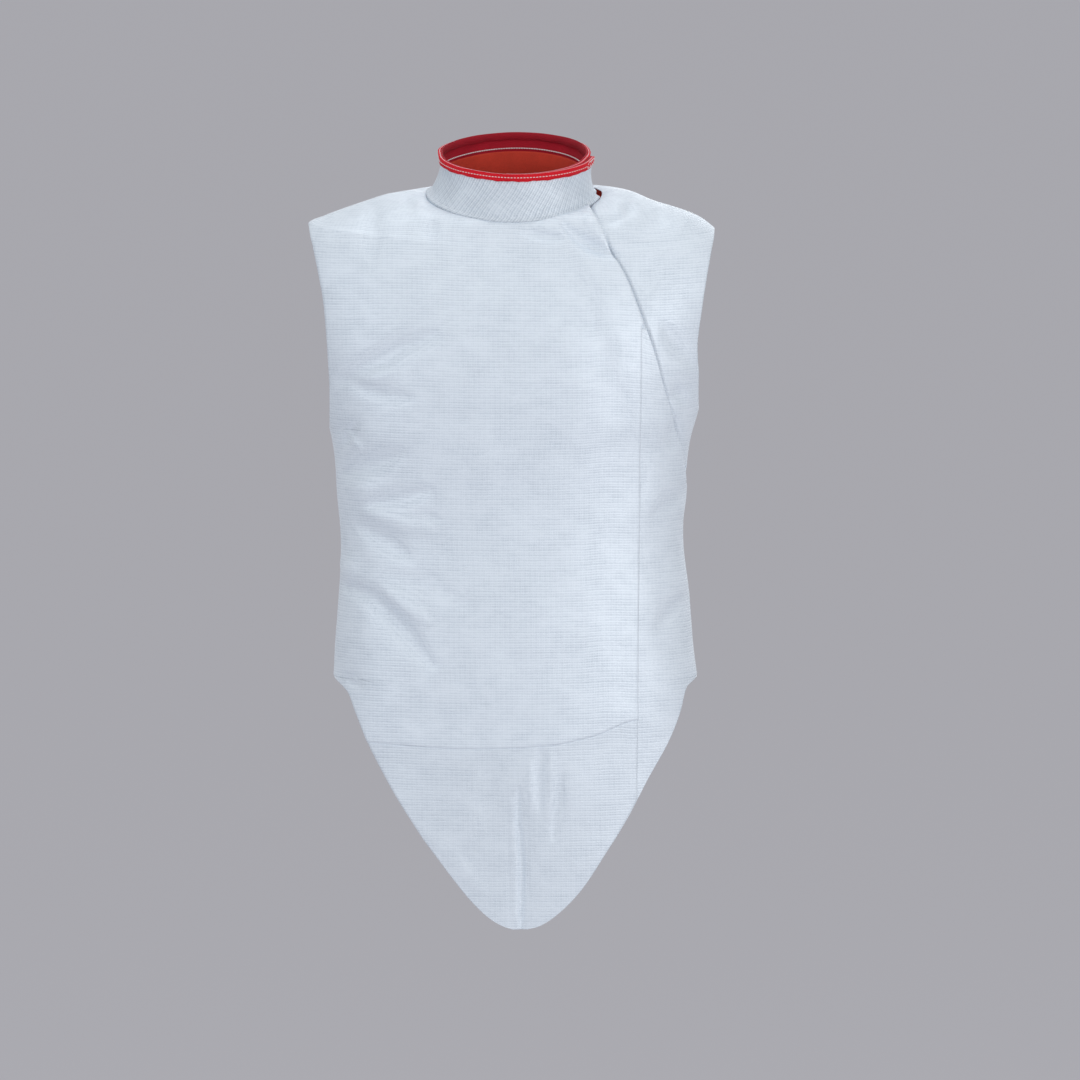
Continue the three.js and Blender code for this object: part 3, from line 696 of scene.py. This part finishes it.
class LameColours(bpy.types.PropertyGroup):
    cloth_light: bpy.props.FloatVectorProperty(
        name="Cloth light", description="Silver cloth between the threads", subtype="COLOR",
        default=(0.80, 0.875, 0.95), min=0, max=1,
    )
    cloth_dark: bpy.props.FloatVectorProperty(
        name="Cloth dark", description="Silver cloth in the weave's hollows", subtype="COLOR",
        default=(0.50, 0.575, 0.66), min=0, max=1,
    )
    lining: bpy.props.FloatVectorProperty(
        name="Lining", description="Orange-red lining", subtype="COLOR",
        default=(0.62, 0.055, 0.03), min=0, max=1,
    )
    # Besides the facing's own red, this colour paints shade on the binding's inner leg.
    facing: bpy.props.FloatVectorProperty(
        name="Facing", description="Dark red facing", subtype="COLOR",
        default=(0.40, 0.008, 0.022), min=0, max=1,
    )
    binding: bpy.props.FloatVectorProperty(
        name="Binding", description="Red binding", subtype="COLOR",
        default=(0.78, 0.008, 0.022), min=0, max=1,
    )


def sizes():
    return bpy.context.scene.lame_sizes


def colours():
    return bpy.context.scene.lame_colours


def shade(colour, factor):
    return tuple(min(1.0, channel * factor) for channel in colour)


def cloth_material(name, tone=1.0, slant=0.0, strength=1.0):
    if name in bpy.data.materials:
        return bpy.data.materials[name]
    tints = colours()
    return lame_cloth(name, shade(tints.cloth_dark, tone), shade(tints.cloth_light, tone), slant, strength)


def lining_material():
    if "red lining" in bpy.data.materials:
        return bpy.data.materials["red lining"]
    red = colours().lining
    return plain_cloth("red lining", shade(red, 0.72), shade(red, 1.25), 1.1)


def bent_level(level, x):
    bend = 1 - smooth(np.abs(level - TAIL_SEAM), 0, 75)
    return level + cross_rise(x) * bend


def overlap_lift(x, level):
    lift = sizes().cloth + OVERLAP_CLEARANCE
    near = 1 - smooth(overlap_x(level) - x, 26, 52)
    return lift * near * smooth(level, UNDERLAP_BOTTOM - 30, UNDERLAP_BOTTOM - 2)


def creased(form, folds, phase):
    """Waves and folds, faded towards the side and shoulder seams so that neighbours meet."""
    x, y, z = np.moveaxis(form, -1, 0)
    hollow = SHOULDER_HOLLOW * np.exp(-(((x - SHOULDER_HOLLOW_X) / 24) ** 2)) * smooth(z, -60, -25)
    return (gentle_waves(x, z, phase) - fold_depth(folds, x, z)) * smooth(np.abs(y), 1, SEAM_FADE) - hollow


def front_stand(form):
    return creased(form, FRONT_FOLDS, 1.3)


BODY_ROWS = (
    (UNDERARM, 3.0), (UNDERARM + 6, 0.7), (UNDERARM + 24, 1.6), (-60, 2.8), (SHOULDER_TIP - 8, 1.6),
    (SHOULDER_TIP, 0.6), (-20, 0.8), (-6, 0.8), (BODY_TOP, 0.6),
)


def check_fit(node, points):
    """Stops if a panel strays from the solid it stands for."""
    low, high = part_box(node)
    spare = 0.012
    if (points.min(axis=(0, 1)) < np.array(low) - spare).any() or (
            points.max(axis=(0, 1)) > np.array(high) + spare).any():
        raise RuntimeError(f"the {node} cloth leaves its solid")


def make_piece(name, tone, levels, left, right, columns, **settings):
    """A lame cloth panel, replacing the frame's node of the same name."""
    piece, outer, size = body_sheet(
        name + "_cloth", levels, left, right, columns, thickness=sizes().cloth, **settings
    )
    check_fit(name, outer)
    piece.data.materials.append(cloth_material(f"lame cloth {tone:g}", tone))
    settle(piece, size, node=name)


def front_edge(level):
    """The front's edge: the overlap down to the strip's top, then the seam with the strip."""
    seam = np.minimum(overlap_x(level), strip_x(level))
    return angle_at(level, np.where(level < STRIP_TOP, seam, overlap_x(level)))


class LAME_OT_front(bpy.types.Operator):
    """Cut and form the overlap front, the strip beside it and the tail"""
    bl_idname = "lame.front"
    bl_label = "Front"

    def execute(self, context):
        make_piece(
            "front_panel", 1.0,
            row_levels(TAIL_SEAM, (HEM - 16, 2.6), (HEM, 1.6), *BODY_ROWS),
            lambda level: front_limit(level, -1),
            front_edge,
            150, bend=bent_level,
            stand=lambda form, level: front_stand(form) + overlap_lift(form[..., 0], level)
            + 0.5 * (1 - smooth(level - bent_level(TAIL_SEAM, form[..., 0]), 2, 30)),
        )
        make_piece(
            "side_front_panel", 0.98,
            row_levels(STRIP_BOTTOM - STRIP_POINT, (HEM - 16, 2.6), (HEM, 1.6), (STRIP_TOP - 6, 3.0)),
            lambda level: angle_at(level, strip_x(level) - SEAM_LAP),
            lambda level: np.where(
                level > OVERLAP_ENDS - 16,
                np.minimum(front_limit(level, 1), angle_at(level, overlap_x(level))), front_limit(level, 1)
            ),
            44, stand=lambda form, level: front_stand(form) + overlap_lift(form[..., 0], level)
            - SEAM_SINK * (1 - smooth(form[..., 0] - strip_x(level), 0, 1)),
        )
        make_piece(
            "tail_panel", 0.965,
            row_levels(TAIL_TIP, (-722, 0.9), (-700, 1.4), (TAIL_SEAM - 0.1, 2.0)),
            lambda level: front_limit(level, -1),
            lambda level: angle_at(level, np.minimum(tail_right(level), strip_x(level))),
            130, bend=bent_level, stand=lambda form, level: front_stand(form),
        )
        return {"FINISHED"}


class LAME_OT_underlap(bpy.types.Operator):
    """Form the wearer's left upper front, which runs under the overlap"""
    bl_idname = "lame.underlap"
    bl_label = "Underlap"

    def execute(self, context):
        make_piece(
            "underlap_panel", 0.99, row_levels(UNDERLAP_BOTTOM, *BODY_ROWS),
            lambda level: angle_at(level, overlap_x(level) - UNDERLAP_WIDTH),
            lambda level: front_limit(level, 1), 64,
            stand=lambda form, level: front_stand(form)
            - UNDERLAP_SINK * (1 - smooth(form[..., 0] - overlap_x(level), 0.5, 5)),
        )
        return {"FINISHED"}


def back_stand(form, level):
    return creased(form, BACK_FOLDS, 2.1)


class LAME_OT_back(bpy.types.Operator):
    """Form the back and its red lining"""
    bl_idname = "lame.back"
    bl_label = "Back"

    def execute(self, context):
        levels = row_levels(HEM, *BODY_ROWS)
        make_piece(
            "back_panel", 0.99, levels,
            lambda level: back_limit(level, 1), lambda level: back_limit(level, -1),
            170, stand=back_stand,
        )
        piece, _, size = body_sheet(
            "back_lining_cloth", row_levels(HEM + 6, *[(level, spacing * 2) for level, spacing in BODY_ROWS]),
            lambda level: back_limit(level, 1) + 0.012, lambda level: back_limit(level, -1) - 0.012, 80,
            stand=lambda form, level: back_stand(form, level) - sizes().cloth - LINING_CLEARANCE,
            thickness=LINING_THICKNESS,
        )
        piece.data.materials.append(lining_material())
        settle(piece, size, node="back_lining")
        return {"FINISHED"}


# Collar: one strip that goes once round and ends inside its own overlap
OVERLAP_END = 80
UNDERLAP_END = -371
FACING_WIDTH = 21
STITCH_BELOW = 6.6
FACING_STITCH_BELOW = 17


def lap_inset(degrees):
    return 6.0 * smooth(-degrees, 195, 262)


def collar_waves(degrees, below):
    turn = np.radians(degrees)
    slow, middling = 0.7 * np.sin(3 * turn + 0.8), 0.45 * np.sin(7 * turn + 2.0 + below * 0.04)
    return slow + middling + 0.25 * np.sin(13 * turn)


def collar_place(degrees, below, out):
    """Points of the collar in metres, so far below its top edge and out of its outer face."""
    degrees, below = np.broadcast_arrays(np.asarray(degrees, float), np.asarray(below, float))
    angle, inset = np.radians(degrees), lap_inset(degrees)
    height = np.linalg.norm(COLLAR.point(1, angle, inset) - COLLAR.point(0, angle, inset), axis=-1)
    share = 1 - below / height
    inside = np.clip(share, 0.02, 0.98)
    normal = COLLAR.normal(inside, angle, 0.02, inset)
    form = COLLAR.point(np.clip(share, 0, 1), angle, inset)
    form[..., 2] -= np.maximum(below - height, 0)
    form = form + normal * (np.asarray(out) + collar_waves(degrees, below))[..., None]
    return form * MM, normal, height


def collar_band(name, top, bottom, out, thickness, rows, start=UNDERLAP_END, end=OVERLAP_END, seam=None):
    """A strip of the collar between two distances below its top edge."""
    columns = 420
    degrees = np.linspace(start, end, columns + 1)[None, :]
    height = collar_place(degrees, 0.0, 0.0)[2]
    low = height + bottom if bottom <= 3 else np.full(degrees.shape, float(bottom))
    below = mix(low, top, np.linspace(0, 1, rows + 1)[:, None])
    off = np.full(below.shape, float(out))
    if seam is not None:
        off = off + seam(height - below)
    outer, normal, _ = collar_place(degrees, below, off)
    inner = outer - normal * thickness * MM
    around = np.linalg.norm(np.diff(outer, axis=1), axis=2)
    u = np.concatenate([[0], np.cumsum(around.mean(axis=0))]) / MM
    cloth_at = np.stack([np.broadcast_to(u, below.shape), -below, off], axis=-1)
    piece = sheet_piece(name, outer, inner, cloth_at, 0.25)
    width = around.sum(axis=1).max()
    length = float((below[0] - below[-1]).max()) * MM
    area = around.sum(axis=1).mean() * float((below[0] - below[-1]).mean()) * MM
    return piece, (width, length, area)


def collar_seam(rise):
    """The cloth turns under at the neck seam, with a soft fold just above it."""
    tuck = 1.5 * np.exp(-((rise / 1.1) ** 2))
    return 1.3 * np.exp(-((rise - 2.4) / 1.8) ** 2) - 0.8 * np.exp(-((rise - 6) / 2.2) ** 2) - tuck


class LAME_OT_collar(bpy.types.Operator):
    """Make the stand collar, its facing and its lining"""
    bl_idname = "lame.collar"
    bl_label = "Collar"

    def execute(self, context):
        cloth = sizes().cloth
        stand, size = collar_band("collar_stand_cloth", 1.2, 1.2, 0.0, cloth, 26, seam=collar_seam)
        stand.data.materials.append(cloth_material("lame cloth on the bias", 0.93, math.radians(-60), 1.9))
        settle(stand, size, node="collar_stand")
        red = colours().facing
        tape = plain_cloth("dark red facing", shade(red, 0.7), shade(red, 1.3), 0.9)
        facing, size = collar_band("collar_facing_cloth", 1.2, FACING_WIDTH, -cloth - 0.3, 0.7, 12)
        facing.data.materials.append(tape)
        settle(facing, size, node="collar_facing")
        lining, size = collar_band("collar_lining_cloth", FACING_WIDTH - 1, 0.5, -cloth - 0.7, 0.7, 14)
        lining.data.materials.append(lining_material())
        settle(lining, size, node="collar_lining")
        return {"FINISHED"}


class LAME_OT_binding(bpy.types.Operator):
    """Fold the red binding over the collar's top edge"""
    bl_idname = "lame.binding"
    bl_label = "Binding"

    def execute(self, context):
        leg, cloth = sizes().binding_leg, sizes().cloth
        outer, inner, wall = 1.25, -cloth - 2.2, 0.8
        section = [
            (outer, leg), (outer, leg * 0.75), (outer + 0.15, leg * 0.5), (outer, leg * 0.25), (outer, 1.4),
        ]
        middle, radius = (outer + inner) / 2, (outer - inner) / 2
        section += [
            (middle + radius * math.cos(t), 1.4 - 1.9 * math.sin(t))
            for t in np.radians(np.arange(20, 180, 20))
        ]
        section += [
            (inner, 1.4), (inner, leg * 0.5), (inner, leg), (inner + wall, leg), (inner + wall, leg * 0.5),
            (inner + wall, 1.6), (middle, 0.7), (outer - wall, 1.6), (outer - wall, leg * 0.5),
            (outer - wall, leg),
        ]
        section = np.array(section)
        stations = 520
        degrees = np.linspace(OVERLAP_END + 0.6, UNDERLAP_END - 0.6, stations + 1)[:, None]
        uneven = 0.25 * np.sin(np.radians(degrees) * 17) + 0.15 * np.sin(np.radians(degrees) * 41 + 1)
        below = section[None, :, 1] + np.where(section[None, :, 1] > leg * 0.9, uneven, 0)
        points, _, _ = collar_place(degrees, below, np.broadcast_to(section[None, :, 0], below.shape))
        corners = len(section)
        number = np.arange((stations + 1) * corners).reshape(stations + 1, corners)
        nxt = np.roll(number, -1, axis=1)
        quads = np.stack([number[:-1], nxt[:-1], nxt[1:], number[1:]], axis=-1).reshape(-1, 4)
        half = corners // 2
        caps = []
        for i in range(half - 1):
            ends = (i, i + 1, corners - 2 - i, corners - 1 - i)
            caps.append([number[0, k] for k in reversed(ends)])
            caps.append([number[-1, k] for k in ends])
        quads = np.concatenate([quads, np.array(caps)])
        run = np.linalg.norm(np.diff(points[:, 0], axis=0), axis=1)
        u = np.concatenate([[0], np.cumsum(run)]) / MM
        girth = np.concatenate([[0], np.cumsum(np.linalg.norm(np.diff(section, axis=0), axis=1))])
        cloth_at = np.stack([
            np.broadcast_to(u[:, None], below.shape), np.broadcast_to(girth, below.shape),
            np.broadcast_to(section[:, 0], below.shape),
        ], axis=-1)
        piece = mesh_object("collar_binding_cloth", points.reshape(-1, 3), quads, cloth_at.reshape(-1, 3))
        # The binding's inner leg takes the darker facing red: painted shade inside the collar.
        red = colours().binding
        piece.data.materials.append(
            plain_cloth("red binding", shade(red, 0.78), shade(red, 1.22), 0.8, 0.7, True, colours().facing)
        )
        length = float(run.sum())
        width = np.linalg.norm(section - np.roll(section, 1, axis=0), axis=1).sum() / 2 * MM
        settle(piece, (width, length, width * length * 0.98), node="collar_binding")
        return {"FINISHED"}


def collar_run(below, out, start, end, spacing):
    degrees = np.linspace(start, end, 400)
    depth, off = np.full(degrees.shape, float(below)), np.full(degrees.shape, float(out))
    place, normal, _ = collar_place(degrees, depth, off)
    return stitch_points(place, normal, spacing)


def box_run(corners, out, spacing):
    """Stitches along straight lines between corners given as (degrees, below)."""
    runs = []
    for (d0, b0), (d1, b1) in zip(corners[:-1], corners[1:]):
        share = np.linspace(0, 1, 12)
        place, normal, _ = collar_place(mix(d0, d1, share), mix(b0, b1, share), np.full(12, float(out)))
        runs.append(stitch_points(place, normal, spacing))
    return runs


class LAME_OT_stitching(bpy.types.Operator):
    """Sew the binding, the facing and the boxed end of the overlap"""
    bl_idname = "lame.stitching"
    bl_label = "Stitching"

    def execute(self, context):
        size = sizes()
        white = thread("white thread", (0.62, 0.5, 0.52), (0.9, 0.84, 0.84))
        spacing, cloth = size.stitch_spacing, size.cloth
        runs = [collar_run(STITCH_BELOW, 1.45, OVERLAP_END - 15, UNDERLAP_END + 1, spacing)]
        box = ((OVERLAP_END - 1, 1.8), (OVERLAP_END - 1, 9), (OVERLAP_END - 14, 9), (OVERLAP_END - 14, 1.8),
               (OVERLAP_END - 1, 1.8))
        runs += box_run(box, 1.45, 0.0026)
        for share in (0.3, 0.62):
            across = OVERLAP_END - 1 - 13 * share
            runs += box_run(((across, 1.8), (across, 9)), 1.45, 0.0026)
        stitches("binding_stitches", runs, size.stitch_length, size.thread_thickness, white)
        inside = [
            collar_run(FACING_STITCH_BELOW, -cloth - 1.15, OVERLAP_END - 2, UNDERLAP_END + 1, spacing * 0.8)
        ]
        stitches("facing_stitches", inside, size.stitch_length * 0.95, 0.0012, white)
        return {"FINISHED"}


class LAME_OT_stage(bpy.types.Operator):
    """Set the floor, the soft lights and the camera"""
    bl_idname = "lame.stage"
    bl_label = "Stage"

    def execute(self, context):
        scene = context.scene
        low, high = CAD_BOX
        floor_height = low.z - 0.75
        mesh = bpy.data.meshes.new("floor")
        reach = 120.0
        mesh.from_pydata(
            [(-reach, -reach, floor_height), (reach, -reach, floor_height), (reach, reach, floor_height),
             (-reach, reach, floor_height)], [], [(0, 1, 2, 3)]
        )
        floor = bpy.data.objects.new("floor", mesh)
        scene.collection.objects.link(floor)
        paint = Finish("floor paint")
        paint.put("Base Color", (0.65, 0.64, 0.678, 1))
        paint.put("Roughness", 1.0)
        paint.put("Specular IOR Level", 0.0)
        mesh.materials.append(paint.material)
        world = bpy.data.worlds.new("studio")
        world.use_nodes = True
        background = world.node_tree.nodes["Background"]
        background.inputs["Color"].default_value = (0.97, 0.98, 1.0, 1)
        background.inputs["Strength"].default_value = 0.62
        scene.world = world
        middle = (low + high) / 2
        lamps = (
            ("key", (1.9, -2.2, 0.35), 2.0, 26.5, (1.0, 0.99, 0.985)),
            ("fill", (-2.3, -2.0, 0.5), 2.2, 15, (0.93, 0.96, 1.0)),
            ("top", (-0.1, 0.3, 2.4), 1.8, 13, (1.0, 1.0, 1.0)),
            ("back", (0.6, 2.6, 0.9), 2.0, 20, (0.97, 0.98, 1.0)),
        )
        for name, offset, width, power, tint in lamps:
            light = bpy.data.lights.new(name, "AREA")
            light.shape, light.size = "SQUARE", width
            light.energy, light.color = power, tint
            lamp = bpy.data.objects.new(name, light)
            lamp.location = middle + Vector(offset)
            lamp.rotation_euler = (-Vector(offset)).to_track_quat("-Z", "Y").to_euler()
            scene.collection.objects.link(lamp)
        camera = bpy.data.cameras.new("camera")
        camera.lens, camera.sensor_width = 600, 36
        holder = bpy.data.objects.new("camera", camera)
        tilt, distance = math.radians(5), 18.0
        ahead = Vector((0, math.cos(tilt), -math.sin(tilt)))
        up = Vector((0, math.sin(tilt), math.cos(tilt)))
        holder.location = Vector((0.025, 0, 0)) + up * -0.35 - ahead * distance
        holder.rotation_euler = ahead.to_track_quat("-Z", "Y").to_euler()
        camera.clip_end = 400
        scene.collection.objects.link(holder)
        scene.camera = holder
        scene.view_settings.view_transform = "Standard"
        return {"FINISHED"}


class LAME_PT_panel(bpy.types.Panel):
    """Lists the steps that make the lame"""
    bl_label = "Fencing Lame"
    bl_idname = "LAME_PT_panel"
    bl_space_type = "VIEW_3D"
    bl_region_type = "UI"
    bl_category = "Fencing Lame"

    def draw(self, context):
        layout = self.layout
        for group in (context.scene.lame_sizes, context.scene.lame_colours):
            for name in group.bl_rna.properties.keys():
                if name not in {"rna_type", "name"}:
                    layout.prop(group, name)
        for step in STEPS:
            layout.operator(step.bl_idname)


STEPS = (
    LAME_OT_stage, LAME_OT_front, LAME_OT_underlap, LAME_OT_back, LAME_OT_collar, LAME_OT_binding,
    LAME_OT_stitching,
)
CLASSES = (LameSizes, LameColours, *STEPS, LAME_PT_panel)


def register():
    for item in CLASSES:
        bpy.utils.register_class(item)
    bpy.types.Scene.lame_sizes = bpy.props.PointerProperty(type=LameSizes)
    bpy.types.Scene.lame_colours = bpy.props.PointerProperty(type=LameColours)


def unregister():
    del bpy.types.Scene.lame_colours
    del bpy.types.Scene.lame_sizes
    for item in reversed(CLASSES):
        bpy.utils.unregister_class(item)


def main():
    register()
    bpy.ops.lame.stage()
    bpy.ops.lame.front()
    bpy.ops.lame.underlap()
    bpy.ops.lame.back()
    bpy.ops.lame.collar()
    bpy.ops.lame.binding()
    bpy.ops.lame.stitching()


if __name__ == "__main__":
    main()
